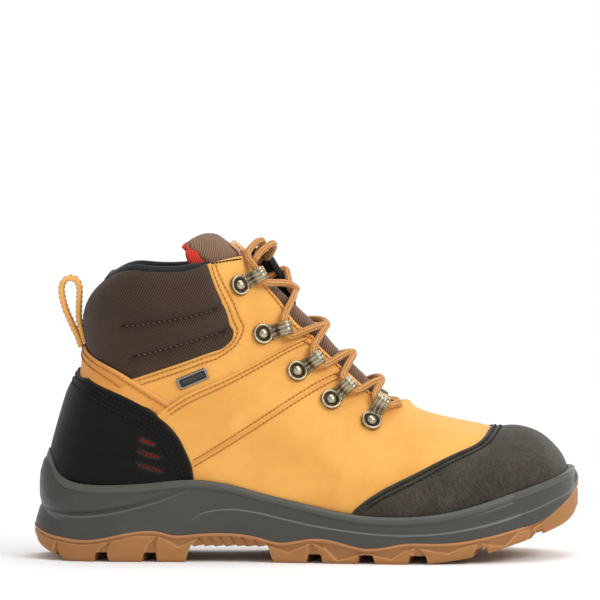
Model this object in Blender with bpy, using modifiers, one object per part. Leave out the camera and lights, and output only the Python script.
"""Safety work boot for the right foot, with a steel toe cap.

The upper is a set of leather, cloth and foam panels laid on one surface, the
shoemaker's last.  Every panel is an outline on that surface with its own
distance from it and its own thickness.  The sole is lofted through rings that
follow the boot's outline.

Design numbers are millimetres: x from the back of the heel towards the toe,
y to the wearer's left (the medial side, because this is a right boot), z up
from the ground.  world() moves the origin to the ground at the middle of the
sole's length and turns millimetres into metres.
"""
import math

import bmesh
import bpy
import numpy as np
from mathutils import Matrix, Vector
from mathutils.bvhtree import BVHTree
from mathutils.geometry import delaunay_2d_cdt

for old in list(bpy.data.objects):
    bpy.data.objects.remove(old, do_unlink=True)


def new_collection(name, parent):
    collection = bpy.data.collections.new(name)
    parent.children.link(collection)
    return collection


PARTS = new_collection("work_boot", bpy.context.scene.collection)
CUTTERS = new_collection("cutters", bpy.context.scene.collection)

# ---------------------------------------------------------------- main sizes
MM = 0.001
SOLE_LENGTH = 305.0
ORIGIN = (SOLE_LENGTH / 2, -1.68, 0.0)
LEATHER = 1.8          # thickness of the main leather
OVERLAY = 1.6          # thickness of the black leather sewn over it
LINING = 0.9           # thickness of the mesh linings
LINING_DEPTH = -5.0    # distance of the linings' inner faces from the last
TONGUE_CLOTH = 1.2     # thickness of the tongue's outer cloth
EYELET_RADIUS = 1.75   # hole for a rivet, in the leather and in the lace loop
LACE_RADIUS = 1.9
SIDES = (("lateral", 1), ("medial", -1))


# ---------------------------------------------------------------- materials
def material(name, colour, roughness, metallic=0.0):
    mat = bpy.data.materials.get(name) or bpy.data.materials.new(name)
    mat.use_nodes = True
    shader = mat.node_tree.nodes["Principled BSDF"]
    shader.inputs["Base Color"].default_value = (*colour, 1)
    shader.inputs["Roughness"].default_value = roughness
    shader.inputs["Metallic"].default_value = metallic
    return mat


NUBUCK = material("wheat_nubuck", colour=(0.70, 0.34, 0.09), roughness=0.8)
BLACK_HIDE = material("black_nubuck", colour=(0.012, 0.011, 0.010), roughness=0.85)
TWILL = material("brown_twill", colour=(0.10, 0.055, 0.033), roughness=0.95)
POLYURETHANE = material("grey_polyurethane", colour=(0.062, 0.064, 0.060), roughness=0.45)
GUM = material("gum_rubber", colour=(0.42, 0.17, 0.055), roughness=0.55)
STEEL = material("spring_steel", colour=(0.45, 0.45, 0.46), roughness=0.35, metallic=1.0)
BRASS = material("antique_brass", colour=(0.17, 0.13, 0.065), roughness=0.32, metallic=1.0)
MESH = material("black_mesh", colour=(0.014, 0.014, 0.015), roughness=0.95)
RED = material("red_lining", colour=(0.62, 0.025, 0.012), roughness=0.9)
CORD = material("lace_cord", colour=(0.62, 0.30, 0.08), roughness=0.85)
FOAM = material("foam", colour=(0.55, 0.53, 0.45), roughness=0.95)
BOARD = material("insole_board", colour=(0.55, 0.47, 0.35), roughness=0.9)
GUNMETAL = material("gunmetal", colour=(0.28, 0.27, 0.25), roughness=0.35, metallic=1.0)
ENAMEL = material("black_enamel", colour=(0.01, 0.01, 0.01), roughness=0.3)


# ---------------------------------------------------------------- curves and outlines
def world(point):
    return (np.asarray(point, float) - np.array(ORIGIN)) * MM


def spline(knots, values):
    """Natural cubic spline through values at knots, held at its ends."""
    knots = np.asarray(knots, float)
    values = np.asarray(values, float)
    flat = values.ndim == 1
    if flat:
        values = values[:, None]
    count = len(knots)
    gaps = np.diff(knots)
    matrix = np.zeros((count, count))
    right = np.zeros((count, values.shape[1]))
    matrix[0, 0] = matrix[-1, -1] = 1
    for i in range(1, count - 1):
        matrix[i, i - 1 : i + 2] = gaps[i - 1], 2 * (gaps[i - 1] + gaps[i]), gaps[i]
        right[i] = 6 * ((values[i + 1] - values[i]) / gaps[i]
                        - (values[i] - values[i - 1]) / gaps[i - 1])
    bend = np.linalg.solve(matrix, right)

    def evaluate(at):
        at = np.clip(np.asarray(at, float), knots[0], knots[-1])
        k = np.clip(np.searchsorted(knots, at, side="right") - 1, 0, count - 2)
        to_next = (knots[k + 1] - at)[..., None]
        to_last = (at - knots[k])[..., None]
        gap = gaps[k][..., None]
        out = (bend[k] * to_next**3 + bend[k + 1] * to_last**3) / (6 * gap)
        out = (out + (values[k] / gap - bend[k] * gap / 6) * to_next
               + (values[k + 1] / gap - bend[k + 1] * gap / 6) * to_last)
        return out[..., 0] if flat else out

    return evaluate


def table_spline(table):
    """Spline through a table of (position, value) rows."""
    return spline(*np.array(table).T)


def chord(points):
    """Length along a polyline at each of its points."""
    points = np.asarray(points, float)
    return np.concatenate([[0], np.cumsum(np.linalg.norm(np.diff(points, axis=0), axis=1))])


def smooth_path(points, step, closed=False):
    """Points no further apart than step on the spline through the given points."""
    points = np.asarray(points, float)
    if closed:
        wrapped = np.vstack([points[-3:], points, points[:3]])
        lengths = chord(wrapped)
        low, high = lengths[3], lengths[3 + len(points)]
        count = max(8, int(math.ceil((high - low) / step)))
        return spline(lengths, wrapped)(np.linspace(low, high, count, endpoint=False))
    if len(points) == 2:
        count = max(1, int(math.ceil(np.linalg.norm(points[1] - points[0]) / step)))
        return points[0] + (points[1] - points[0]) * np.linspace(0, 1, count + 1)[:, None]
    lengths = chord(points)
    count = max(1, int(math.ceil(lengths[-1] / step)))
    return spline(lengths, points)(np.linspace(0, lengths[-1], count + 1))


def smoothstep(start, end, value):
    part = np.clip((np.asarray(value, float) - start) / (end - start), 0, 1)
    return part * part * (3 - 2 * part)


def at_lengths(points, lengths, count):
    """count + 1 evenly spaced points along a polyline whose chord lengths are given."""
    at = np.linspace(0, lengths[-1], count + 1)
    return np.stack([np.interp(at, lengths, points[:, k]) for k in range(points.shape[1])],
                    axis=1)


def resample(outline, step):
    """Evenly spaced points on a closed outline."""
    loop = np.vstack([outline, outline[:1]])
    lengths = chord(loop)
    return at_lengths(loop, lengths, max(3, int(round(lengths[-1] / step))))[:-1]


def inside(x, y, outline):
    """Which of the points lie inside a closed outline."""
    result = np.zeros(x.shape, bool)
    for (x0, y0), (x1, y1) in zip(outline, np.roll(outline, -1, axis=0)):
        if y0 == y1:
            continue
        result ^= ((y0 > y) != (y1 > y)) & (x < (x1 - x0) * (y - y0) / (y1 - y0) + x0)
    return result


def distance_to(x, y, outline):
    """Distance from points to a closed outline."""
    loop = np.vstack([outline, outline[:1]])
    best = np.full(x.shape, 1e9)
    for start, end in zip(loop[:-1], loop[1:]):
        run = end - start
        square = max(float(run @ run), 1e-12)
        part = np.clip(((x - start[0]) * run[0] + (y - start[1]) * run[1]) / square, 0, 1)
        best = np.minimum(best, np.hypot(x - start[0] - part * run[0],
                                         y - start[1] - part * run[1]))
    return best


def join(*paths):
    """Joins path pieces into one closed outline, dropping repeated points."""
    same = 0.4
    out = [paths[0][0]]
    for path in paths:
        for point in path:
            if np.linalg.norm(point - out[-1]) > same:
                out.append(point)
    if np.linalg.norm(out[0] - out[-1]) < same:
        out.pop()
    return np.array(out)


def shrink(outline, distance):
    """Moves a closed outline inwards by a distance."""
    points = resample(outline, 3.0)
    along = np.roll(points, -1, axis=0) - np.roll(points, 1, axis=0)
    along /= np.maximum(np.linalg.norm(along, axis=1, keepdims=True), 1e-9)
    inward = np.column_stack([-along[:, 1], along[:, 0]])
    x, y = points[:, 0], points[:, 1]
    if np.sum(x * np.roll(y, -1) - np.roll(x, -1) * y) < 0:
        inward = -inward
    moved = points + inward * distance
    keep = inside(moved[:, 0], moved[:, 1], points)
    keep &= distance_to(moved[:, 0], moved[:, 1], points) > 0.9 * distance
    return moved[keep]


def triangulate(outline, step, holes=()):
    """Fills a closed outline with grid points and Delaunay triangles.
    Returns points, triangles and the boundary loops as index lists."""
    loops = [np.asarray(outline, float)] + [np.asarray(h, float) for h in holes]
    low, high = loops[0].min(0), loops[0].max(0)
    columns = np.arange(math.floor(low[0] / step) * step, high[0] + step, step)
    rows = np.arange(math.floor(low[1] / step) * step, high[1] + step, step)
    x, y = [a.ravel() for a in np.meshgrid(columns, rows, indexing="ij")]
    keep = inside(x, y, loops[0])
    for hole in loops[1:]:
        keep &= ~inside(x, y, hole)
    x, y = x[keep], y[keep]
    for loop in loops:
        keep = distance_to(x, y, loop) > 0.45 * step
        x, y = x[keep], y[keep]
    points, edges, indices = [], [], []
    for loop in loops:
        first = len(points)
        points += [tuple(row) for row in loop]
        ids = list(range(first, first + len(loop)))
        indices.append(ids)
        edges += list(zip(ids, ids[1:] + ids[:1]))
    points += list(zip(x.tolist(), y.tolist()))
    filled = delaunay_2d_cdt([Vector(p) for p in points], edges, [], 1, 1e-6)
    verts = np.array([tuple(p) for p in filled[0]])
    new_index = {}
    for i, sources in enumerate(filled[3]):
        for source in sources:
            new_index[source] = i
    faces = np.array([t for t in filled[2] if len(t) == 3])
    centres = verts[faces].mean(1)
    keep = np.ones(len(faces), bool)
    for hole in loops[1:]:
        keep &= ~inside(centres[:, 0], centres[:, 1], hole)
    faces = faces[keep]
    side_a = verts[faces[:, 1]] - verts[faces[:, 0]]
    side_b = verts[faces[:, 2]] - verts[faces[:, 0]]
    area = side_a[:, 0] * side_b[:, 1] - side_a[:, 1] * side_b[:, 0]
    faces[area < 0] = faces[area < 0][:, ::-1]
    return verts, faces, [[new_index[i] for i in ids] for ids in indices]


# ---------------------------------------------------------------- the last
# The upper is a loft through slanting sections.  Each section runs from a
# bottom or back point B to a top or front point T in side view; W is its half
# width, WM the place of the widest point along B-T, NB and NT how square its
# lower and upper halves are, YB and YT the sideways place of its two ends.
SECTIONS = np.array([
    # Tx,    Tz,    Bx,    Bz,   W,    WM,   NB,  NT,  YB,   YT
    (295.5, 40.0, 281.0, 27.0, 24.0, 0.50, 3.0, 2.4, 5.0, 6.0),
    (295.2, 50.0, 272.0, 23.5, 31.5, 0.48, 3.2, 2.5, 4.5, 6.0),
    (291.5, 59.5, 263.0, 20.5, 37.0, 0.44, 3.3, 2.6, 3.5, 5.5),
    (284.0, 66.8, 254.0, 18.5, 41.0, 0.40, 3.4, 2.6, 2.0, 5.0),
    (272.0, 70.9, 244.0, 17.0, 44.0, 0.37, 3.4, 2.5, 0.5, 4.5),
    (257.0, 71.8, 232.0, 16.0, 46.0, 0.34, 3.4, 2.35, -1.0, 4.0),
    (243.0, 74.1, 220.0, 15.3, 47.2, 0.32, 3.4, 2.2, -2.0, 4.0),
    (228.0, 77.4, 205.0, 15.0, 47.0, 0.31, 3.4, 2.1, -2.5, 4.0),
    (214.0, 81.9, 188.0, 15.2, 45.0, 0.31, 3.4, 2.0, -3.0, 4.0),
    (202.0, 89.0, 168.0, 15.8, 42.5, 0.32, 3.4, 2.0, -3.5, 3.5),
    (190.5, 98.4, 145.0, 17.2, 40.0, 0.34, 3.4, 2.0, -4.0, 3.0),
    (178.5, 109.5, 118.0, 19.4, 37.5, 0.37, 3.4, 2.0, -3.5, 2.5),
    (167.5, 121.2, 88.0, 22.2, 35.5, 0.41, 3.9, 2.0, -2.0, 2.0),
    (157.5, 132.3, 55.0, 24.5, 34.5, 0.44, 4.6, 2.05, -0.5, 1.5),
    (149.0, 140.2, 28.0, 26.5, 34.5, 0.46, 4.4, 2.1, 0.0, 1.0),
    (141.5, 147.3, 14.0, 37.0, 34.8, 0.47, 3.6, 2.15, 0.0, 0.5),
    (134.5, 154.0, 12.6, 54.0, 35.2, 0.48, 2.9, 2.2, 0.0, 0.0),
    (128.0, 160.8, 17.0, 72.5, 35.6, 0.49, 2.7, 2.2, 0.0, 0.0),
    (121.5, 167.4, 22.6, 91.0, 36.0, 0.50, 2.55, 2.2, 0.0, 0.0),
    (115.0, 173.2, 28.3, 107.0, 36.5, 0.50, 2.45, 2.2, 0.0, 0.0),
    (108.0, 178.4, 31.4, 124.0, 37.0, 0.50, 2.4, 2.2, 0.0, 0.0),
    (100.5, 183.7, 33.8, 141.0, 37.2, 0.50, 2.4, 2.2, 0.0, 0.0),
    (92.5, 189.3, 41.0, 156.5, 36.5, 0.50, 2.4, 2.2, 0.0, 0.0),
    (84.5, 195.0, 52.0, 168.5, 34.0, 0.50, 2.4, 2.2, 0.0, 0.0),
])
FIRST_BACK_SECTION = 15    # from here on the lower ends B run up the back of the heel

# A place on the last is (along, angle): along is the mean length from the toe
# through the sections.  Outlines use (along, girth), where girth is the angle
# times a scale that makes the two roughly metric.
SECTION_ALONG = 0.5 * (chord(SECTIONS[:, 0:2]) + chord(SECTIONS[:, 2:4]))
ALONG_END = float(SECTION_ALONG[-1])
GIRTH_SCALE = 40.0         # millimetres of girth per radian
BACK = math.pi * GIRTH_SCALE
section_at = spline(SECTION_ALONG, SECTIONS)
FINE_ALONG = np.linspace(0, ALONG_END, 900)
FINE_SECTIONS = section_at(FINE_ALONG)


def last_point(along, angle):
    """Point of the last.  Angle 0 is the top ridge, positive is lateral, +-pi the
    bottom or back."""
    sections = np.moveaxis(section_at(along), -1, 0)
    top_x, top_z, low_x, low_z, half_width, widest, low_power, top_power, low_y, top_y = sections
    cosine = np.cos(angle)
    level = (cosine + 1) / 2
    part = level + 4 * (widest - 0.5) * level * (1 - level)
    blend = 0.5 + 0.5 * np.sin(math.pi * cosine / 2)
    power = low_power + (top_power - low_power) * blend
    fullness = np.sqrt(np.maximum(0, 1 - np.abs(cosine) ** power))
    side = np.sign(np.sin(angle))
    y = low_y + (top_y - low_y) * part - side * half_width * fullness
    return np.stack([low_x + (top_x - low_x) * part, y, low_z + (top_z - low_z) * part], axis=-1)


def frame_at(along, angle):
    """Point, derivatives by along and by angle, and the unit outward normal."""
    delta = 0.02
    along = np.asarray(along, float)
    angle = np.asarray(angle, float)
    middle = np.clip(along, delta, ALONG_END - delta)
    point = last_point(along, angle)
    by_along = (last_point(middle + delta, angle) - last_point(middle - delta, angle)) / (2 * delta)
    by_angle = (last_point(along, angle + delta) - last_point(along, angle - delta)) / (2 * delta)
    normal = np.cross(by_along, by_angle)
    normal /= np.maximum(np.linalg.norm(normal, axis=-1, keepdims=True), 1e-9)
    return point, by_along, by_angle, normal


def lift(along, angle, distance):
    """Point at a distance outside the last."""
    point, _, _, normal = frame_at(along, angle)
    return point + normal * np.asarray(distance, float)[..., None]


def on_last(x, z, side=1):
    """(along, angle) of the point seen at x, z in side view; side 1 is lateral."""
    tops, lows = FINE_SECTIONS[:, 0:2], FINE_SECTIONS[:, 2:4]
    spans = tops - lows
    cross = spans[:, 0] * (z - lows[:, 1]) - spans[:, 1] * (x - lows[:, 0])
    best = None
    for i in np.nonzero(cross[:-1] * cross[1:] <= 0)[0]:
        step = cross[i] / (cross[i] - cross[i + 1]) if cross[i] != cross[i + 1] else 0.0
        along = FINE_ALONG[i] + step * (FINE_ALONG[1] - FINE_ALONG[0])
        section = section_at(along)
        span = section[0:2] - section[2:4]
        part = float(np.dot(np.array([x, z]) - section[2:4], span) / np.dot(span, span))
        overshoot = max(0, -part, part - 1)
        if best is None or overshoot < best[0]:
            best = (overshoot, along, part, section[5])
    _, along, part, widest = best
    part = min(max(part, 0.0), 1.0)
    # invert the shift of the widest point made in last_point()
    skew = 4 * (widest - 0.5)
    if abs(skew) < 1e-6:
        level = part
    else:
        level = ((1 + skew) - math.sqrt((1 + skew) ** 2 - 4 * skew * part)) / (2 * skew)
    return along, side * math.acos(min(1, max(-1, 2 * level - 1)))


def outline_point(x, z, side=1):
    """(along, girth) of the point seen at x, z in side view."""
    along, angle = on_last(x, z, side)
    return np.array([along, angle * GIRTH_SCALE])


def ridge_at(x):
    """Along of the top ridge at x."""
    skip = 60    # the toe's steep front, where x hardly changes
    return float(FINE_ALONG[int(np.argmin(np.abs(FINE_SECTIONS[skip:, 0] - x))) + skip])


def back_at(z):
    """Along of the heel's back line at height z."""
    behind = np.nonzero(FINE_ALONG > SECTION_ALONG[FIRST_BACK_SECTION])[0]
    return float(FINE_ALONG[behind[int(np.argmin(np.abs(FINE_SECTIONS[behind, 3] - z)))]])


def trace(points, side=1):
    """A path on the last through side-view points, as (along, girth) rows.
    A point may be (x, z), ("ridge", x), ("back", z) or ("at", along, angle)."""
    rows = []
    for point in points:
        if point[0] == "ridge":
            rows.append((ridge_at(point[1]), 0.0))
        elif point[0] == "back":
            rows.append((back_at(point[1]), side * BACK))
        elif point[0] == "at":
            rows.append((point[1], point[2] * GIRTH_SCALE))
        else:
            rows.append(outline_point(point[0], point[1], side))
    return smooth_path(rows, 4.0)


def level_line(start, end, angle):
    """A line at a constant angle between two places along the last."""
    along = np.linspace(start, end, 24)
    return np.column_stack([along, np.full(len(along), angle * GIRTH_SCALE)])


def mirrored(half, about=0.0):
    """Closes a lateral half with its mirror image: about the ridge, or about BACK."""
    other = half * np.array([1.0, -1.0]) + np.array([0, 2 * about])
    return join(half, other[::-1])


def round_back(front_edge, top, low):
    """Outline of a piece that goes round the heel and is open below it: its low edge from
    the back forwards, the front edge upwards, then the top edge to the back."""
    return mirrored(join(trace(low), trace(front_edge), trace(top)), BACK)


def last_tree(offset):
    """The last's surface at an offset, as a tree to cast rays at."""
    stations, around = 150, 96
    along, angle = np.meshgrid(np.linspace(0, ALONG_END, stations),
                               np.linspace(-math.pi, math.pi, around, endpoint=False),
                               indexing="ij")
    points = lift(along, angle, np.full(along.shape, float(offset)))
    quads = []
    for i in range(stations - 1):
        for j in range(around):
            k = (j + 1) % around
            quads.append((i * around + j, (i + 1) * around + j,
                          (i + 1) * around + k, i * around + k))
    return BVHTree.FromPolygons([tuple(p) for p in points.reshape(-1, 3)], quads)


LAST_TREE = last_tree(0.0)


# ---------------------------------------------------------------- object helpers
def place(name, mesh, mat, origin=None):
    """A named object for a mesh given in world metres, its own origin moved to a point."""
    if origin is not None:
        mesh.transform(Matrix.Translation(-Vector(origin)))
    part = bpy.data.objects.new(name, mesh)
    if origin is not None:
        part.location = Vector(origin)
    mesh.materials.append(mat)
    PARTS.objects.link(part)
    return part


def mesh_of(name, points, faces):
    mesh = bpy.data.meshes.new(name)
    mesh.from_pydata([tuple(map(float, p)) for p in points], [],
                     [tuple(map(int, f)) for f in faces])
    mesh.validate()
    mesh.update()
    return mesh


def face_outwards(mesh):
    work = bmesh.new()
    work.from_mesh(mesh)
    bmesh.ops.recalc_face_normals(work, faces=work.faces)
    work.to_mesh(mesh)
    work.free()


def solidify(part, thickness, offset=1.0):
    modifier = part.modifiers.new("thickness", "SOLIDIFY")
    modifier.thickness = thickness * MM
    modifier.offset = offset
    modifier.use_even_offset = False


def lifted(points, distance):
    """Outline points raised off the last by a number or a function of (along, angle)."""
    along, angle = points[:, 0], points[:, 1] / GIRTH_SCALE
    if callable(distance):
        return lift(along, angle, distance(along, angle))
    return lift(along, angle, np.full(len(points), float(distance)))


def panel(name, outline, inner, thickness, mat, edge, fill, holes=(), origin=None):
    """A sheet lying on the last: an open patch with Solidify.  inner is its inner face's
    distance from the last; edge and fill are its point spacings."""
    points, faces, _ = triangulate(resample(outline, edge), fill, holes)
    mesh = mesh_of(name, world(lifted(points, inner)), faces)
    mesh.shade_smooth()
    solidify(place(name, mesh, mat, origin), thickness)


def sandwich(name, low, high, triangles, loops):
    """A closed solid between two matching layers of points."""
    count = len(low)
    faces = [tuple(t[::-1]) for t in triangles] + [tuple(t + count) for t in triangles]
    for ids in loops:
        for i, j in zip(ids, ids[1:] + ids[:1]):
            faces.append((i, j, j + count, i + count))
    mesh = mesh_of(name, world(np.vstack([low, high])), faces)
    face_outwards(mesh)
    return mesh


def foam_pad(name, outline, low, high, origin=None):
    """A foam pad between two distances from the last."""
    step = 11.0
    points, triangles, loops = triangulate(resample(outline, step), step)
    mesh = sandwich(name, lifted(points, low), lifted(points, high), triangles, loops)
    mesh.shade_smooth()
    place(name, mesh, FOAM, origin)


def curve_part(name, paths, mat, cyclic=False, **settings):
    """A curve object through paths given in metres."""
    curve = bpy.data.curves.new(name, "CURVE")
    for key, value in settings.items():
        setattr(curve, key, value)
    for path in paths:
        line = curve.splines.new("POLY")
        line.points.add(len(path) - 1)
        line.use_cyclic_u = cyclic
        for knot, point in zip(line.points, path):
            knot.co = (*map(float, point), 1)
    curve.materials.append(mat)
    part = bpy.data.objects.new(name, curve)
    PARTS.objects.link(part)
    return part


def flat_plate_curve(name, paths, thickness, mat):
    """Closed paths in the curve's own x-y plane, filled and extruded to a thickness."""
    return curve_part(name, paths, mat, cyclic=True, dimensions="2D", fill_mode="BOTH",
                      extrude=thickness / 2 * MM)


def tube(name, points, radius, mat, step):
    """A round cord or piping with capped ends."""
    curve_part(name, [world(smooth_path(points, step))], mat, dimensions="3D",
               bevel_depth=radius * MM, bevel_resolution=1, use_fill_caps=True)


def tangent_frame(along, angle, distance, direction):
    """Point off the last, the tangent seen at a direction (degrees above forwards) in
    side view, the tangent across it, and the normal."""
    point, _, _, normal = frame_at(along, angle)
    x, z = math.cos(math.radians(direction)), math.sin(math.radians(direction))
    tangent = np.array([x, -(normal[0] * x + normal[2] * z) / normal[1], z])
    tangent /= np.linalg.norm(tangent)
    return point + normal * distance, tangent, np.cross(normal, tangent), normal


def frame_matrix(frame):
    point, *axes = frame
    return Matrix.Translation(Vector(world(point))) @ Matrix(axes).transposed().to_4x4()


# ---------------------------------------------------------------- the sole's shape
# x, y round the sole: from the heel's back along the lateral side to the toe and back
SOLE_OUTLINE = [
    (0, 0), (3.5, -18), (15, -31.5), (34, -38.5), (65, -41), (100, -42), (135, -45),
    (165, -50.5), (195, -55.5), (222, -57), (248, -53.5), (271, -43.5), (289, -28),
    (300.5, -10), (305, 7), (302, 22), (292, 36), (273, 47), (249, 52), (222, 52.5),
    (195, 49.5), (165, 42.5), (135, 36.5), (100, 34.5), (65, 37), (34, 37.5), (15, 31.5),
    (3.5, 18),
]
# heights along the sole, as x, z
WALL_TOP = [
    (0, 60), (3.5, 55.5), (8, 49.5), (15, 44.8), (25, 42.3), (45, 41.6), (68, 43),
    (86, 44.7), (97, 44.2), (112, 41.8), (128, 37.4), (146, 33.1), (164, 29), (181, 26),
    (198, 25), (214, 25.5), (230, 27.4), (247, 31.2), (264, 36.2), (281, 42.2),
    (293, 46.4), (301, 48.6), (305, 49.2),
]
# line between midsole and outsole, on the wall
BOND_LINE = [
    (0, 18.8), (6, 15.6), (15, 13.4), (28, 11.9), (41, 13.3), (53, 15.9), (63, 17.2),
    (71, 16.8), (78, 15.0), (87, 15.1), (100, 16.1), (114, 15.8), (126, 13.9),
    (138, 11.2), (149, 12.6), (160, 13.6), (170, 12.0), (184, 8.7), (195, 9.2),
    (206, 11.3), (222, 11.5), (235, 12.0), (252, 14.6), (268, 18.2), (283, 23.3),
    (294, 31), (305, 41.2),
]
# the same joint further in, under the midsole
BOND_INNER = [
    (0, 13.5), (30, 10.5), (60, 12.5), (100, 12.5), (140, 8.6), (200, 7.0), (230, 8.4),
    (250, 10.6), (275, 16.0), (295, 24.0), (305, 33.0),
]
GROUND = [
    (0, 13), (4, 8), (11, 3.8), (17, 1), (22, 0), (60, 0), (130, 0), (212, 0),
    (222, 0.4), (234, 1.8), (247, 4.1), (263, 8.3), (278, 12.5), (292, 17.6), (300, 22),
    (305, 27),
]
# the bed that the upper sits on
SEAT = [
    (8, 27), (40, 25), (80, 22.8), (120, 19.3), (160, 16.4), (200, 15), (230, 15.8),
    (256, 19.0), (280, 25.5), (298, 32),
]
RING_POINTS = 72
JOINT_INSET = 6.0    # how far in the inner edge of the joint ring lies


def sole_ring():
    """Points round the sole, evenly spaced on each side, from the heel's back along the
    lateral side first, and their inward normals."""
    path = smooth_path(SOLE_OUTLINE, 0.5, closed=True)
    path = np.roll(path, -int(np.argmin(path[:, 0])), axis=0)
    toe = int(np.argmax(path[:, 0]))
    lateral = path[: toe + 1]
    medial = np.vstack([path[toe:], path[:1]])[::-1]
    lateral, medial = [at_lengths(q, chord(q), RING_POINTS // 2) for q in (lateral, medial)]
    ring = np.vstack([lateral, medial[::-1][1:-1]])
    along = np.roll(ring, -1, axis=0) - np.roll(ring, 1, axis=0)
    inward = np.stack([-along[:, 1], along[:, 0]], axis=1)
    inward /= np.linalg.norm(inward, axis=1, keepdims=True)
    middle = np.stack([np.clip(ring[:, 0], 40, 262), np.zeros(len(ring))], axis=1)
    inward[np.sum(inward * (middle - ring), axis=1) < 0] *= -1
    return ring, inward


RING, INWARD = sole_ring()
RING_X = RING[:, 0]
RING_BOND = table_spline(BOND_LINE)(RING_X)
RING_BOND_INNER = np.minimum(table_spline(BOND_INNER)(RING_X), RING_BOND - 0.6)
RING_SEAT = table_spline(SEAT)(RING_X)


def ring_at(inset, z):
    """The sole's ring moved in by an inset, at height z."""
    inset = np.broadcast_to(np.asarray(inset, float), RING_X.shape)
    z = np.broadcast_to(np.asarray(z, float), RING_X.shape)
    return np.column_stack([RING + INWARD * inset[:, None], z])


def cast_inward(i, z):
    """The last's normal and inset seen from ring point i at height z, or None twice."""
    outside = 5
    start = Vector((*(RING[i] - INWARD[i] * outside), float(z)))
    _, normal, _, distance = LAST_TREE.ray_cast(start, Vector((*INWARD[i], 0)))
    if normal is None:
        return None, None
    return normal, distance - outside


def rings_mesh(name, rings):
    """A closed solid through matching rings; its two caps are strips across the sole."""
    count = len(rings[0])
    half = count // 2
    faces = []
    for k in range(len(rings) - 1):
        for i in range(count):
            j = (i + 1) % count
            faces.append((k * count + i, k * count + j, (k + 1) * count + j, (k + 1) * count + i))

    def cap(base):
        strips = [(base, base + 1, base + count - 1)]
        for i in range(1, half - 1):
            strips.append((base + i, base + i + 1, base + count - i - 1, base + count - i))
        strips.append((base + half - 1, base + half, base + half + 1))
        return strips

    faces += [t[::-1] for t in cap(0)]
    faces += cap((len(rings) - 1) * count)
    mesh = mesh_of(name, world(np.vstack(rings)), faces)
    face_outwards(mesh)
    return mesh


# ---------------------------------------------------------------- outsole
EDGE = 70.0             # grooves that reach the edge run on to this y
SIDE_GROOVE_Y = 14.0    # inner end of the side grooves
SIDE_GROOVE_TURN = 9.0  # degrees
MIDDLE_GROOVE_Y = 11.0  # half length of the middle grooves, inner edge of the long ones
LONG_GROOVE_WIDTH = 4.0
# the wide gap between heel and forefoot, as x start, x end, z of its roof
WAIST_GAP = (89.0, 131.8, 8.7)
# grooves across the sole, in the same columns
SIDE_GROOVES = [(36.0, 41.6, 4.6), (62.4, 69.0, 4.6), (153.4, 160.4, 4.2),
                (182.7, 190.0, 4.2), (211.2, 219.0, 4.4), (246.4, 252.2, 7.6)]
MIDDLE_GROOVES = [(49.0, 54.0, 4.6), (141.5, 146.5, 4.2), (168.5, 174.5, 4.2),
                  (197.5, 203.5, 4.2), (229.0, 235.0, 6.0)]
# pairs of grooves that run lengthwise
LONG_GROOVES = [(24.0, 88.4, 4.4), (132.4, 244.0, 4.0)]


def groove_boxes():
    """All grooves as (x start, x end, roof z), y start, y end, turn in degrees."""
    boxes = [(WAIST_GAP, -EDGE, EDGE, 0.0)]
    for groove in SIDE_GROOVES:
        boxes.append((groove, -EDGE, -SIDE_GROOVE_Y, SIDE_GROOVE_TURN))
        boxes.append((groove, SIDE_GROOVE_Y, EDGE, -SIDE_GROOVE_TURN))
    for groove in MIDDLE_GROOVES:
        boxes.append((groove, -MIDDLE_GROOVE_Y, MIDDLE_GROOVE_Y, 0.0))
    for y in (-MIDDLE_GROOVE_Y - LONG_GROOVE_WIDTH, MIDDLE_GROOVE_Y):
        for groove in LONG_GROOVES:
            boxes.append((groove, y, y + LONG_GROOVE_WIDTH, 0.0))
    return boxes


def groove_cutter(name, groove, y0, y1, turn):
    """A hidden box that cuts one groove, turned about its end nearer the middle."""
    below, draught = 5, 0.6
    x0, x1, roof = groove
    middle = (x0 + x1) / 2
    box = bmesh.new()
    bmesh.ops.create_cube(box, size=1.0)
    for vert in box.verts:
        x, y, z = vert.co
        vert.co = Vector(((x + 0.5) * (x1 - x0) + x0, (y + 0.5) * (y1 - y0) + y0,
                          -below + (z + 0.5) * (roof + below)))
        if vert.co.z > 0:    # narrow the roof, so that the lugs are wider at their roots
            vert.co.x += draught if vert.co.x < middle else -draught
    pivot = Vector((middle, y0 if abs(y0) < abs(y1) else y1, 0))
    bmesh.ops.rotate(box, verts=box.verts, cent=pivot,
                     matrix=Matrix.Rotation(math.radians(turn), 3, "Z"))
    for vert in box.verts:
        vert.co = Vector(world(vert.co))
    bmesh.ops.recalc_face_normals(box, faces=box.faces)
    mesh = bpy.data.meshes.new(name)
    box.to_mesh(mesh)
    box.free()
    cutter = bpy.data.objects.new(name, mesh)
    cutter.hide_render = True
    cutter.display_type = "WIRE"
    CUTTERS.objects.link(cutter)
    return cutter


def outsole():
    """Gum rubber sole with lugs left between the cut grooves."""
    ground = np.interp(RING_X, *np.array(GROUND).T)
    rings = [ring_at(1.8, ground), ring_at(0.6, ground + 2.2),
             ring_at(0.2, RING_BOND - 0.15), ring_at(JOINT_INSET, RING_BOND_INNER)]
    part = place("outsole", rings_mesh("outsole", rings), GUM)
    grooves = new_collection("grooves", CUTTERS)
    for i, box in enumerate(groove_boxes()):
        grooves.objects.link(groove_cutter(f"groove_{i}", *box))
    cut = part.modifiers.new("grooves", "BOOLEAN")
    cut.operation = "DIFFERENCE"
    cut.operand_type = "COLLECTION"
    cut.collection = grooves
    cut.solver = "EXACT"
    cut.use_self = True


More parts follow.
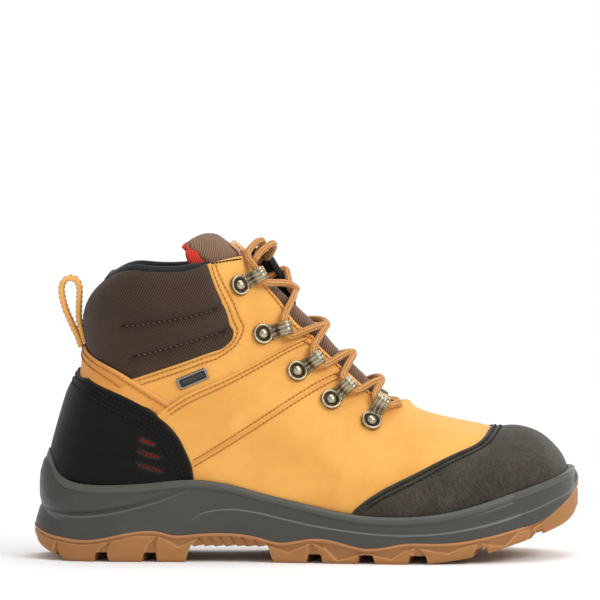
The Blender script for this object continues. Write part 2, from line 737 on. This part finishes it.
# ---------------------------------------------------------------- midsole
def pocket(z, clearance):
    """How far in from the outline the upper's outer face lies, at heights z."""
    inset = np.full(RING_POINTS, np.nan)
    for i in range(RING_POINTS):
        normal, distance = cast_inward(i, z[i])
        if normal is not None:
            slope = math.sqrt(max(0.4, 1 - normal.z ** 2))
            inset[i] = distance - clearance[i] / slope
    return inset


def midsole():
    """Polyurethane wall and the bed that the upper sits in."""
    x, bond = RING_X, RING_BOND
    # the wall leans in at its top: much at the heel's back, a little at the sides and toe
    lean = 2.2 + 6.2 * (1 - smoothstep(0, 26, x)) + 2.0 * smoothstep(286, SOLE_LENGTH, x)
    top = table_spline(WALL_TOP)(x) - 2.0 * (1 - smoothstep(0, 14, x))
    floor = RING_SEAT - 2.9
    middle = floor + 0.5 * (top - floor)
    # room for the upper: more under the heel and toe overlays
    clearance = np.where((x < 101) | (x > 166), 5.3, 3.0) + 0.7 * (x < 24)
    inset_top = pocket(top - 0.6, clearance)
    inset_middle = np.fmin(pocket(middle, clearance),
                           pocket(floor + 0.75 * (top - floor), clearance))
    inset_middle = np.fmin(inset_middle, inset_top + 1.0)
    inset_floor = np.fmin(inset_middle + 4.0, pocket(floor + 4.0, clearance))
    lip = np.minimum(lean, inset_top - 1.6)
    rings = [ring_at(JOINT_INSET, RING_BOND_INNER + 1.3),
             ring_at(0.3, bond + 0.75),
             ring_at(0.0, bond + 0.22 * (top - bond)),
             ring_at(0.9 + 0.35 * lean, bond + 0.5 * (top - bond)),
             ring_at(np.minimum(0.3 + 0.6 * lean, inset_top - 2.4), bond + 0.8 * (top - bond)),
             ring_at(lip, top - 0.6),
             ring_at(0.5 * (lip + inset_top), top),
             ring_at(inset_top, top - 0.5),
             ring_at(inset_middle, middle),
             ring_at(inset_floor, floor)]
    place("midsole", rings_mesh("midsole", rings), POLYURETHANE)


# ---------------------------------------------------------------- seams and edges
# side-view points, as x, z
EYESTAY_FRONT = [
    (117.0, 168.2), (123.5, 160.5), (129.5, 152.5), (137.5, 143.5), (145.5, 132.5),
    (152.5, 126.6), (159.5, 118.6), (166.4, 111.8), (172.5, 106.6), (180.0, 99.6),
    (188.0, 92.6),
]
FRONT_TOP = EYESTAY_FRONT[:6]       # above the upper seam
FRONT_MIDDLE = EYESTAY_FRONT[5:9]   # between the seams
FRONT_LOW = EYESTAY_FRONT[8:]       # below the lower seam
COLLAR_LOW = [
    (57.5, 103.6), (66.0, 106.6), (74.4, 110.0), (90.2, 115.5), (101.8, 120.2),
    (109.2, 125.0), (111.5, 130.2), (110.2, 136.5), (107.0, 143.9), (103.9, 151.3),
    (99.9, 159.7), (97.6, 165.0),
]
COLLAR_TOP = [
    ("back", 148.0), (44.0, 157.0), (50.0, 160.4), (58.0, 161.8), (68.0, 160.8),
    (80.0, 160.8), (90.0, 162.2), COLLAR_LOW[-1],
]
STRAP_TOP = [COLLAR_LOW[0], (50.0, 108.2), (42.0, 112.8), (33.0, 118.0)]
UPPER_SEAM = [(71.3, 83.0), (80.8, 89.9), (106.0, 102.0), (130.0, 114.2), (152.5, 126.6)]
STRAP_FRONT = [UPPER_SEAM[0], (64.0, 94.0), STRAP_TOP[0]]
LOWER_SEAM = [(82.0, 52.3), (88.8, 56.6), (119.5, 75.4), (154.5, 97.3), (172.5, 106.6)]
BACK_JOIN = [UPPER_SEAM[0], (74.5, 76.0), (78.0, 69.0), (80.4, 61.5), LOWER_SEAM[0],
             (83.0, 44.0)]
COUNTER_EDGE = [
    (33.5, 103.7), (46.0, 97.0), (58.6, 90.1), (68.0, 83.8), (77.2, 75.1),
    (82.5, 68.4), (86.0, 61.4), (88.7, 55.3), (90.4, 48.2), (91.2, 41.0),
]
TOE_EDGE = [(247.1, 71.0), (237.7, 65.5), (222.9, 57.3), (208.2, 49.1), (195.6, 41.7),
            (186.1, 35.4), (179.0, 29.5)]
RIVETS = [(114.6, 152.3), (127.9, 125.2), (147.1, 104.4), (165.9, 88.4), (188.3, 76.3)]
THROAT_X = 207.0
FEATHER = math.radians(138)      # angle of the upper's lower edge
LINING_EDGE = math.radians(116)  # angle of the linings' lower edge
LINING_CORNER = 118.0            # along of the corner where the two linings meet

# (along, angle) of the rivets on the lateral side, the top pair first
EYELETS = [on_last(x, z) for x, z in RIVETS]
EIGHT_TURNS = np.arange(8) * math.pi / 4


def eyelet_hole(i, side):
    """Round hole about rivet i, as an (along, girth) outline."""
    along, angle = EYELETS[i][0], side * EYELETS[i][1]
    _, by_along, by_angle, _ = frame_at(np.array([along]), np.array([angle]))
    by_along, by_girth = by_along[0], by_angle[0] / GIRTH_SCALE
    square = by_along @ by_along
    mixed = by_along @ by_girth
    height = math.sqrt(by_girth @ by_girth - mixed * mixed / square)
    axis = np.array([1 / math.sqrt(square), 0.0])
    across = np.array([-mixed / square / height, 1 / height])
    turns = EIGHT_TURNS[:, None]
    circle = np.cos(turns) * axis + np.sin(turns) * across
    return np.array([along, angle * GIRTH_SCALE]) + EYELET_RADIUS * circle


# ---------------------------------------------------------------- upper
def eyestay(name, side):
    outline = join(trace(FRONT_TOP, side), trace(UPPER_SEAM[::-1], side),
                   trace(STRAP_FRONT, side), trace(COLLAR_LOW, side),
                   trace([COLLAR_LOW[-1], EYESTAY_FRONT[0]], side))
    panel(f"eyestay_{name}", shrink(outline, 0.45), 0.0, LEATHER, NUBUCK, edge=8.0, fill=9.0,
          holes=[eyelet_hole(0, side), eyelet_hole(1, side)])


def mid_quarter(name, side):
    """The band between the two seams."""
    outline = join(trace(UPPER_SEAM, side), trace(FRONT_MIDDLE, side),
                   trace(LOWER_SEAM[::-1], side), trace(BACK_JOIN[:5][::-1], side))
    panel(f"mid_quarter_{name}", shrink(outline, 0.45), 0.0, LEATHER, NUBUCK,
          edge=8.0, fill=9.0, holes=[eyelet_hole(2, side)])


def vamp():
    """One piece from the lateral waist over the toes to the medial waist."""
    corner = outline_point(*BACK_JOIN[-1])
    low = join(level_line(5.0, corner[0], FEATHER),
               np.array([corner, outline_point(*LOWER_SEAM[0])]))
    top = join(trace(LOWER_SEAM), trace(FRONT_LOW),
               trace([FRONT_LOW[-1], (197.5, 88.0), ("ridge", THROAT_X)]))
    panel("vamp", shrink(mirrored(join(low, top)), 0.65), 0.0, LEATHER, NUBUCK,
          edge=9.5, fill=12.0, holes=[eyelet_hole(i, s) for i in (3, 4) for s in (1, -1)])


def back_quarter():
    """One piece round the heel, from waist to waist."""
    corner = BACK_JOIN[-1]
    outline = round_back(
        front_edge=BACK_JOIN[::-1],
        top=STRAP_FRONT[:2] + STRAP_TOP + [("back", 121.0)],
        low=[("back", 42.0), (20.0, 37.0), (30.0, 33.5), (45.0, 30.5), (62.0, 29.5),
             ("at", on_last(*corner)[0], FEATHER), corner])
    panel("back_quarter", shrink(outline, 0.65), 0.0, LEATHER, NUBUCK, edge=8.0, fill=11.0)


def heel_overlay():
    """Black leather round the heel, with three slots on each side."""
    outline = round_back(
        front_edge=COUNTER_EDGE[::-1],
        top=[COUNTER_EDGE[0], ("back", 106.0)],
        low=[("back", 47.0), (20.0, 41.0), (30.0, 37.0), (45.0, 35.5), (62.0, 36.0),
             (78.0, 37.5), COUNTER_EDGE[-1]])
    # the slots' ends, as x, z
    slots = [((62.6, 69.7), (68.6, 67.5)), ((62.6, 63.1), (72.7, 59.8)),
             ((62.6, 55.9), (73.5, 51.7))]
    half_width = 0.8
    cuts = []
    for _, side in SIDES:
        for ends in slots:
            start, end = [outline_point(x, z, side) for x, z in ends]
            if side < 0:
                start[1] += 2 * BACK
                end[1] += 2 * BACK
            run = (end - start) / np.linalg.norm(end - start)
            across = np.array([-run[1], run[0]]) * half_width
            cuts.append(np.array([start - across, end - across, end + across, start + across]))
    panel("heel_overlay", shrink(outline, 0.3), 3.1, OVERLAY, BLACK_HIDE,
          edge=8.0, fill=9.5, holes=cuts)


def heel_accent(name, side):
    """Red patch seen through the heel overlay's slots."""
    corners = ((59.0, 74.0), (75.0, 69.0), (79.0, 49.0), (59.0, 51.0))
    outline = np.array([outline_point(x, z, side) for x, z in corners])
    panel(f"heel_accent_{name}", outline, 2.15, 0.5, RED, edge=9.0, fill=12.0)


def toe_overlay():
    end = on_last(*TOE_EDGE[-1])[0]
    half = join(level_line(4.0, end, math.radians(120)),
                trace(TOE_EDGE[::-1] + [("ridge", 253.0)]))
    panel("toe_overlay", shrink(mirrored(half), 0.3), 2.85, OVERLAY, BLACK_HIDE,
          edge=8.5, fill=9.5)


# ---------------------------------------------------------------- stiff parts inside
CAP_END_X = 256.0     # the steel toe cap's rear edge on the ridge
CAP_END_LOW = 36.0    # along of its rear edge at the bottom


def steel_toe_cap():
    angle = math.radians(118)
    rear = np.array([[CAP_END_LOW, angle * GIRTH_SCALE], [ridge_at(CAP_END_X), 0.0]])
    half = join(level_line(5.0, CAP_END_LOW, angle), rear)
    panel("steel_toe_cap", shrink(mirrored(half), 0.3), -2.9, 1.5, STEEL, edge=7.5, fill=9.0)


def toe_cap_edge_strip():
    """Mesh strip along the toe cap's rear edge."""
    low = math.radians(117) * GIRTH_SCALE
    rear_low = CAP_END_LOW + 10.0
    outline = join(np.array([
        [ridge_at(CAP_END_X), 0.0], [CAP_END_LOW, low], [rear_low, low],
        [ridge_at(247.0), 0.0], [rear_low, -low], [CAP_END_LOW, -low]]))
    panel("toe_cap_edge_strip", shrink(outline, 0.7), -2.6, 1.3, MESH, edge=8.0, fill=10.0)


def heel_stiffener():
    front = [(76.0, 46.0), (75.0, 56.0), (66.0, 69.0), (52.0, 77.0), (36.0, 82.0)]
    outline = round_back(
        front_edge=front,
        top=[front[-1], ("back", 83.0)],
        low=[("back", 51.0), (21.0, 46.0), (30.0, 42.0), (45.0, 39.5), (62.0, 39.5), front[0]])
    panel("heel_stiffener", shrink(outline, 0.3), -3.2, 1.6, BOARD, edge=9.0, fill=10.0)


# ---------------------------------------------------------------- linings
# the edge where the two linings meet, from below upwards
LINING_JOIN = [("at", LINING_CORNER, LINING_EDGE), (168.0, 58.0), (181.0, 80.0)]


def vamp_lining():
    half = join(level_line(6.0, LINING_CORNER, LINING_EDGE),
                trace(LINING_JOIN + [(193.0, 89.0), ("ridge", THROAT_X + 13)]))
    panel("vamp_lining", shrink(mirrored(half), 0.6), LINING_DEPTH, LINING, MESH,
          edge=10.5, fill=12.0)


def quarter_lining():
    front_and_top = join(trace(LINING_JOIN + [(189.5, 90.8)]), trace(EYESTAY_FRONT[::-1][1:]),
                         trace([EYESTAY_FRONT[0]] + COLLAR_TOP[::-1]))
    low_back = np.array([[235.0, BACK], [232.0, math.radians(150) * GIRTH_SCALE]])
    half = join(low_back, level_line(216.0, LINING_CORNER, LINING_EDGE), front_and_top)
    panel("quarter_lining", shrink(mirrored(half, BACK), 0.6), LINING_DEPTH, LINING, MESH,
          edge=11.5, fill=14.0)


# ---------------------------------------------------------------- padded collar
def collar_outline():
    low = join(trace(STRAP_TOP[::-1]), trace(COLLAR_LOW))
    half = join(np.array([[back_at(121.5), BACK]]), low, trace(COLLAR_TOP)[::-1])
    return shrink(mirrored(half, BACK), 0.5)


COLLAR = collar_outline()


def collar_bulge(along, angle):
    """Distance of the collar cloth's inner face: it swells away from the edges."""
    girth = np.where(angle < 0, angle + 2 * math.pi, angle) * GIRTH_SCALE
    return 0.2 + 4.2 * smoothstep(0.0, 13.0, distance_to(along, girth, COLLAR))


def ankle_collar():
    panel("ankle_collar", shrink(COLLAR, 0.4), collar_bulge, 1.2, TWILL, edge=8.0, fill=9.0)


def collar_foam():
    foam_pad("collar_foam", shrink(COLLAR, 3.5), low=-2.3,
             high=lambda along, angle: collar_bulge(along, angle) - 1.4)


def collar_binding():
    """Rolled mesh edge round the collar's top, from side to side behind the ankle."""
    points = [(44.0, 160.0), (50.0, 163.0), (58.0, 164.2), (68.0, 163.6), (80.0, 163.6),
              (90.0, 164.8), (97.0, 167.4)]
    half = np.array([(back_at(151.0), math.pi)] + [on_last(x, z) for x, z in points])
    whole = np.vstack([half[:0:-1] * [1, -1], half])
    tube("collar_binding", lift(whole[:, 0], whole[:, 1], 0.3), 3.0, MESH, step=9.0)


# ---------------------------------------------------------------- under the foot
def footprint():
    """The foot's print inside the last: points, triangles, boundary loops, and the
    height of the last's underside at each point."""
    line = []
    for i in range(RING_POINTS):
        _, inset = cast_inward(i, float(RING_SEAT[i]) + 4.6)
        if inset is not None and 0 < inset < 40:
            line.append(RING[i] + INWARD[i] * (inset + 1.9))
    line = np.array(line)
    line[:, 0] = np.clip(line[:, 0], 22.0, 278.0)
    for _ in range(3):
        line = 0.25 * np.roll(line, 1, axis=0) + 0.5 * line + 0.25 * np.roll(line, -1, axis=0)
    points, triangles, loops = triangulate(resample(line, 12.5), 15.0)
    underside = []
    for x, y in points:
        hit = LAST_TREE.ray_cast(Vector((x, y, -30)), Vector((0, 0, 1)))[0]
        underside.append(30.0 if hit is None else hit.z)
    return points, triangles, loops, np.array(underside)


FOOTPRINT = footprint()


def foot_plate(name, low, high, mat, origin=None):
    """A board in the shape of the foot's print, between two heights above the underside."""
    points, triangles, loops, underside = FOOTPRINT
    mesh = sandwich(name, np.column_stack([points, underside + low]),
                    np.column_stack([points, underside + high]), triangles, loops)
    place(name, mesh, mat, origin)


def foot_plates():
    foot_plate("insole_board", 1.1, 2.7, BOARD)
    foot_plate("puncture_plate", 3.1, 4.0, STEEL)
    foot_plate("footbed", 4.5, 8.5, MESH, origin=world((277.0, 0.0, 30.2)))


def steel_shank():
    """Narrow steel strip under the waist of the foot."""
    front, rear, half_angle = 128.0, 200.0, 0.17
    left = (math.pi - half_angle) * GIRTH_SCALE
    right = (math.pi + half_angle) * GIRTH_SCALE
    outline = np.array([[front, left], [rear, left], [rear, right], [front, right]])
    panel("steel_shank", outline, 0.2, 1.4, STEEL, edge=10.0, fill=12.0)


# ---------------------------------------------------------------- tongue
TONGUE_HINGE = world((203.0, 3.5, 86.0))    # the origin of all tongue pieces
TONGUE_START = ridge_at(211.0)
TONGUE_END = 319.0
THROAT = ridge_at(THROAT_X)


def tongue_outline(trim):
    """The tongue's outline, with rounded ends, moved in by trim."""
    along = np.linspace(TONGUE_START + trim, TONGUE_END - trim, 30)
    half_width = np.interp(along, [TONGUE_START, TONGUE_START + 20, 200, 250, 300, ALONG_END],
                           [10.0, 19.0, 25.0, 29.0, 31.0, 30.0]) - trim
    start_round = np.sqrt(np.clip((along - along[0] + 5) / 12, 0.2, 1))
    end_round = np.sqrt(np.clip((along[-1] - along + 3) / 10, 0.25, 1))
    return mirrored(np.column_stack([along, half_width * start_round * end_round]))


def eyestay_front_line():
    line = trace(EYESTAY_FRONT)
    return line[np.argsort(line[:, 0])]


FRONT_LINE = eyestay_front_line()


def off_tongue(distance):
    """Distance function that follows the tongue's outer face: under the linings at its
    sides, raised between the eyestays."""
    def from_last(along, angle):
        girth = np.abs(angle) * GIRTH_SCALE
        edge = np.interp(along, FRONT_LINE[:, 0], FRONT_LINE[:, 1])
        edge = np.where(along > FRONT_LINE[-1, 0], 12.0, edge)
        rise = smoothstep(THROAT + 10, THROAT + 26, along)
        face = -6.2 + 4.4 * rise * (1 - smoothstep(edge - 9.0, edge - 2.0, girth))
        return face + distance

    return from_last


def tongue():
    panel("tongue_shell", tongue_outline(0.0), off_tongue(-TONGUE_CLOTH), TONGUE_CLOTH, TWILL,
          edge=10.0, fill=11.0, origin=TONGUE_HINGE)
    foam_pad("tongue_foam", tongue_outline(2.5), off_tongue(-4.1), off_tongue(-1.9),
             origin=TONGUE_HINGE)
    panel("tongue_lining", tongue_outline(0.0), off_tongue(-6.9), 1.0, RED,
          edge=10.0, fill=11.0, origin=TONGUE_HINGE)
    tab = np.array([[296.0, -7.0], [309.0, -7.0], [309.0, 7.0], [296.0, 7.0]])
    panel("tongue_tab", tab, off_tongue(0.4), 1.2, NUBUCK,
          edge=7.0, fill=8.0, origin=TONGUE_HINGE)


# ---------------------------------------------------------------- lace loops and rivets
LOOP_DIRECTIONS = [28.5, 10.5, 28.5, 36.0, 59.4]    # degrees above forwards, in side view
# a loop's side profile from its flat head to its curled-over end: distance forwards of
# the rivet, height off the leather
LOOP_PROFILE = np.array([
    (-5.5, 0.55), (0.0, 0.55), (5.2, 0.55), (7.2, 1.4), (8.7, 4.0), (10.3, 6.2),
    (12.5, 7.0), (14.9, 6.2), (15.9, 3.8), (15.1, 1.4), (12.9, 0.4), (11.0, 0.6),
])
LOOP_LENGTHS = chord(LOOP_PROFILE) + LOOP_PROFILE[0, 0]    # 0 at the rivet
LOOP_END = LOOP_LENGTHS[-1]
loop_profile_at = spline(LOOP_LENGTHS, LOOP_PROFILE)
LOOP_HEAD_RADIUS = 5.4
# a rivet's half profile, as radius, height; its inside is hollow
RIVET_PROFILE = [(0.0, 3.2), (1.7, 2.95), (2.6, 2.3), (3.0, 1.35), (1.15, 1.3),
                 (1.15, -2.75), (2.7, -2.8), (2.7, -3.7), (0.0, -3.7)]


def loop_frame(i, side):
    """Point on the leather under loop i, its forward direction, across and normal."""
    along, angle = EYELETS[i]
    return tangent_frame(along, side * angle, 2.25, LOOP_DIRECTIONS[i])


LOOP_FRAMES = {(side, i): loop_frame(i, side) for _, side in SIDES for i in range(len(RIVETS))}


def lace_loop(name, frame):
    """A stamped loop: a flat eyelet whose neck curls over into a tunnel for the lace."""
    point, forward, across, normal = frame
    turns = np.radians(np.arange(40, 321, 28))
    head = LOOP_HEAD_RADIUS * np.column_stack([np.cos(turns), np.sin(turns)])
    lengths = np.array([5.2, 7.4, 9.4, 11.6, 13.4, 15.2, 17.0, 18.8, 20.6, 22.4, 24.4, LOOP_END])
    half_width = np.interp(lengths, [5.2, 8.0, 12.0, 15.0, LOOP_END], [2.7, 2.6, 3.1, 3.4, 3.4])
    neck = np.column_stack([lengths, half_width])
    outline = np.vstack([head, neck * [1, -1], neck[::-1]])
    hole = EYELET_RADIUS * np.column_stack([np.cos(EIGHT_TURNS), np.sin(EIGHT_TURNS)])
    flat, faces, _ = triangulate(outline, 9.0, [hole])
    bent = loop_profile_at(flat[:, 0])
    points = point + bent[:, :1] * forward + flat[:, 1:] * across + bent[:, 1:] * normal
    mesh = mesh_of(name, world(points), faces)
    solidify(place(name, mesh, BRASS, origin=world(point)), 0.9, offset=0.0)


def rivet(name, frame):
    """A profile turned about the leather's normal."""
    mesh = bpy.data.meshes.new(name)
    edges = [(i, i + 1) for i in range(len(RIVET_PROFILE) - 1)]
    mesh.from_pydata([(radius * MM, 0, z * MM) for radius, z in RIVET_PROFILE], edges, [])
    part = place(name, mesh, BRASS)
    part.matrix_world = frame_matrix(frame)
    screw = part.modifiers.new("turn", "SCREW")
    screw.steps = screw.render_steps = 8
    screw.use_merge_vertices = True
    screw.merge_threshold = 0.00001
    screw.use_normal_calculate = True


def loops_and_rivets():
    for name, side in SIDES:
        for i in range(len(RIVETS)):
            lace_loop(f"loop_{name}_{i + 1}", LOOP_FRAMES[side, i])
            rivet(f"rivet_{name}_{i + 1}", LOOP_FRAMES[side, i])


# ---------------------------------------------------------------- lace
# where the strands cross, as x, z in side view, the top crossing first
CROSSINGS = [(148.6, 151.6), (162.7, 128.8), (178.4, 113.1), (195.8, 98.9)]
CROSSING_Y = 2.0
# the lace's two ends above the top loops, and the bar across the lowest pair
LACE_START = [(113.5, 24.0, 178.0), (124.5, 12.0, 181.0), (128.5, -6.0, 176.5)]
LACE_BAR = [(206.5, -10.5, 91.5), (208.5, 3.5, 95.5), (206.5, 17.5, 91.5)]
LACE_FINISH = [(126.0, 16.0, 177.0), (122.5, -2.0, 184.5), (113.0, -19.0, 178.5)]


def tunnel(side, i):
    """Lace points through a loop, from its upper to its lower side."""
    point, forward, across, normal = LOOP_FRAMES[side, i]
    centre = point + forward * 12.5 + normal * 3.75
    up = across if across[2] > 0 else -across
    return [centre + up * 6.2, centre, centre - up * 6.2]


def strand(side, i, over):
    """From loop i on one side to loop i + 1 on the other, over or under the other strand."""
    start = tunnel(side, i)[2]
    end = tunnel(-side, i + 1)[0]
    x, z = CROSSINGS[i]
    outward = np.array([0.66, 0.0, 0.75])
    middle = np.array([x, CROSSING_Y, z]) - outward * (2.3 if over else 7.2)
    bow = np.array([1.2, 0, 2.2])
    return [start + 0.55 * (middle - start) + bow, middle, end + 0.55 * (middle - end) + bow]


def lace_run(side):
    """From the top loop on one side down to the lowest loop, changing sides each time."""
    points = []
    for i in range(len(RIVETS)):
        points += tunnel(side, i)
        if i < len(CROSSINGS):
            points += strand(side, i, over=(side > 0) == (i % 2 == 0))
            side = -side
    return points


def lace():
    points = LACE_START + lace_run(1) + LACE_BAR + lace_run(-1)[::-1] + LACE_FINISH
    path = smooth_path(np.array(points), 2.0)
    centres = np.array([tunnel(side, i)[1] for side, i in LOOP_FRAMES])
    free = np.array([np.min(np.linalg.norm(centres - q, axis=1)) > 6.8 for q in path])
    # outside the loops, keep the lace off the leather and smooth it
    leather = last_tree(LEATHER)
    clearance = 2.9
    for _ in range(3):
        for i in np.nonzero(free)[0]:
            near, normal, _, distance = leather.find_nearest(Vector(path[i]))
            if (Vector(path[i]) - near).dot(normal) < 0 or distance < clearance:
                path[i] = np.array(near) + np.array(normal) * clearance
        soft = path.copy()
        soft[1:-1] = 0.25 * path[:-2] + 0.5 * path[1:-1] + 0.25 * path[2:]
        path[free] = soft[free]
    tube("lace", path[::3], LACE_RADIUS, CORD, step=8.0)


# ---------------------------------------------------------------- pull loop and badge
def pull_loop():
    """A strap at the back, bent in the x-z plane and extruded across its width."""
    origin = world((22.0, 0.0, 122.0))
    width, thickness = 13.0, 2.4
    line = smooth_path([
        (22.6, 121.5), (19.5, 129.0), (15.8, 139.0), (14.4, 148.0), (16.0, 154.6),
        (20.4, 156.8), (24.4, 154.2), (25.2, 148.0), (24.4, 140.5), (24.4, 133.0),
        (25.0, 127.0)], 3.0)
    along = np.gradient(line, axis=0)
    along /= np.linalg.norm(along, axis=1, keepdims=True)
    across = np.column_stack([-along[:, 1], along[:, 0]]) * thickness / 2
    outline = np.vstack([line + across, (line - across)[::-1]])
    local = world(np.insert(outline, 1, 0.0, axis=1)) - origin
    flat = np.column_stack([local[:, 0], local[:, 2], np.zeros(len(local))])
    part = flat_plate_curve("pull_loop", [flat], width, NUBUCK)
    part.rotation_euler = (math.pi / 2, 0, 0)
    part.location = Vector(origin)


def rectangle(width, height):
    """Corners in metres for sizes in millimetres."""
    return [(x * width / 2 * MM, y * height / 2 * MM, 0)
            for x, y in ((-1, -1), (1, -1), (1, 1), (-1, 1))]


def badge():
    """A metal frame round an enamel plate, on the lateral side."""
    matrix = frame_matrix(tangent_frame(*on_last(89.7, 102.4), 2.2, 27.5))
    frame = flat_plate_curve("badge_frame", [rectangle(17.4, 6.4), rectangle(14.6, 3.8)],
                             1.5, GUNMETAL)
    frame.matrix_world = matrix @ Matrix.Translation((0, 0, 0.95 * MM))

    insert_size = (13.9, 3.1, 0.9)
    box = bmesh.new()
    bmesh.ops.create_cube(box, size=1.0)
    for vert in box.verts:
        vert.co = Vector([c * size * MM for c, size in zip(vert.co, insert_size)])
    mesh = bpy.data.meshes.new("badge_insert")
    box.to_mesh(mesh)
    box.free()
    insert = place("badge_insert", mesh, ENAMEL)
    insert.matrix_world = matrix @ Matrix.Translation((0, 0, 0.75 * MM))


def build():
    outsole()
    midsole()
    for name, side in SIDES:
        eyestay(name, side)
        mid_quarter(name, side)
        heel_accent(name, side)
    vamp()
    back_quarter()
    heel_overlay()
    toe_overlay()
    steel_toe_cap()
    toe_cap_edge_strip()
    heel_stiffener()
    vamp_lining()
    quarter_lining()
    ankle_collar()
    collar_foam()
    collar_binding()
    foot_plates()
    steel_shank()
    tongue()
    loops_and_rivets()
    lace()
    pull_loop()
    badge()


build()
